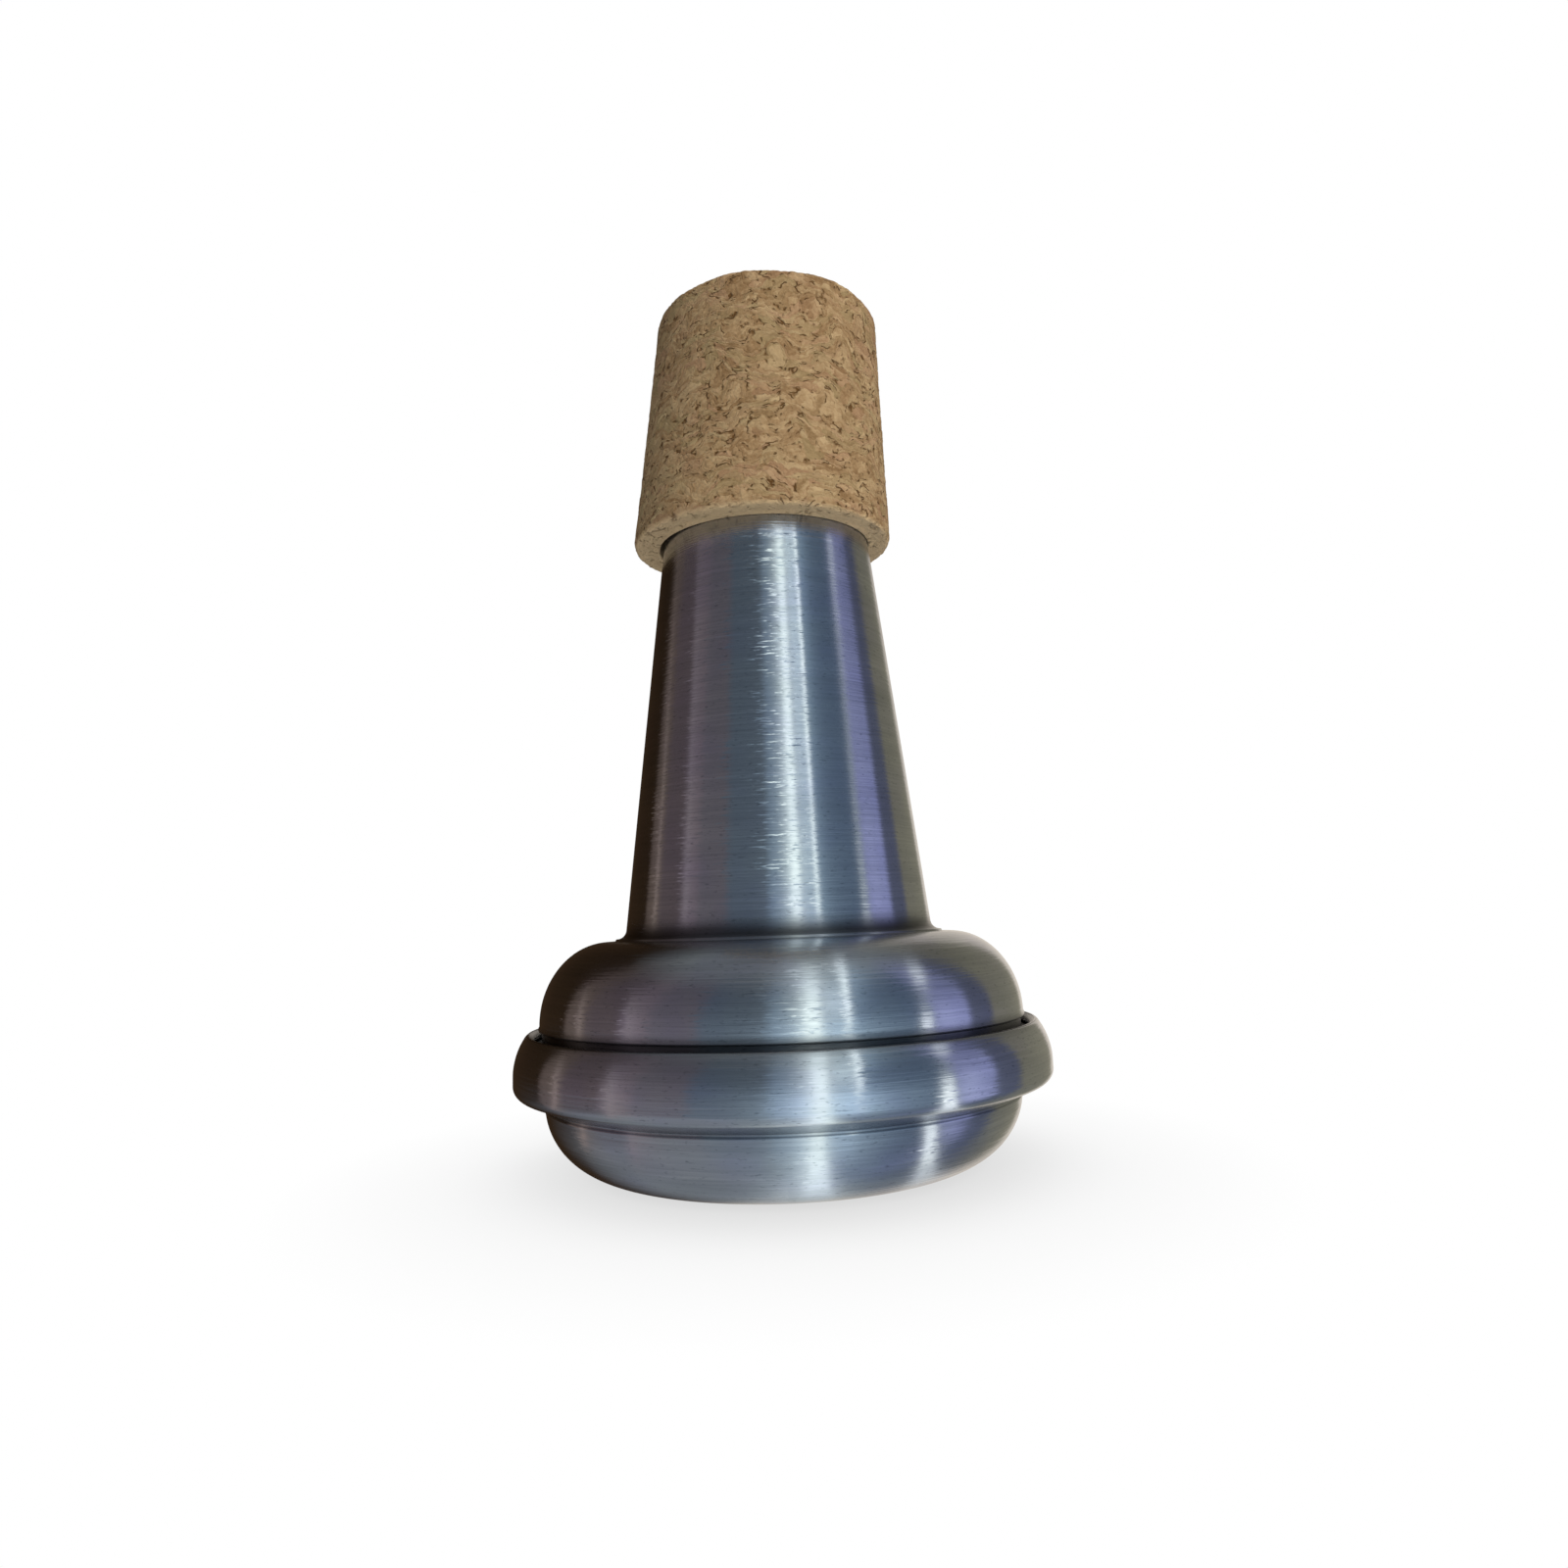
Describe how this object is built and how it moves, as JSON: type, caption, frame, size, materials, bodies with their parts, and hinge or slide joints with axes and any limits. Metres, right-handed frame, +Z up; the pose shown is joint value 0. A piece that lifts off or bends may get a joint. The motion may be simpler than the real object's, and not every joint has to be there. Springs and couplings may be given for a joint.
{
  "type": "suona mute",
  "caption": "Mute for a suona: a tapered neck and a rounded base, both spun aluminium, joined at a rolled bead, with a cork sleeve on the neck, a vent tube and felt damping.",
  "frame": {"origin": "middle of the flat standing ring of the base, on the floor", "axes": "+Z up the neck, towards the cork; -Y towards the viewer of the picture; +X to the viewer's right"},
  "size_m": [0.0672, 0.0672, 0.1118],
  "materials": {
    "spun_aluminium": "bright, with fine turning lines round the axis",
    "drawn_aluminium": "satin, as drawn",
    "agglomerated_cork": "pressed cork granules, ground to a taper",
    "black_rubber": "matt",
    "wool_felt": "pressed wool felt, dark grey"
  },
  "bodies": {
    "root": {"cork_sleeve": "agglomerated_cork", "neck_shell": "spun_aluminium", "base_cap": "spun_aluminium", "seam_seal": "black_rubber", "vent_tube": "drawn_aluminium", "damping_felt": "wool_felt"}
  },
  "joints": []
}
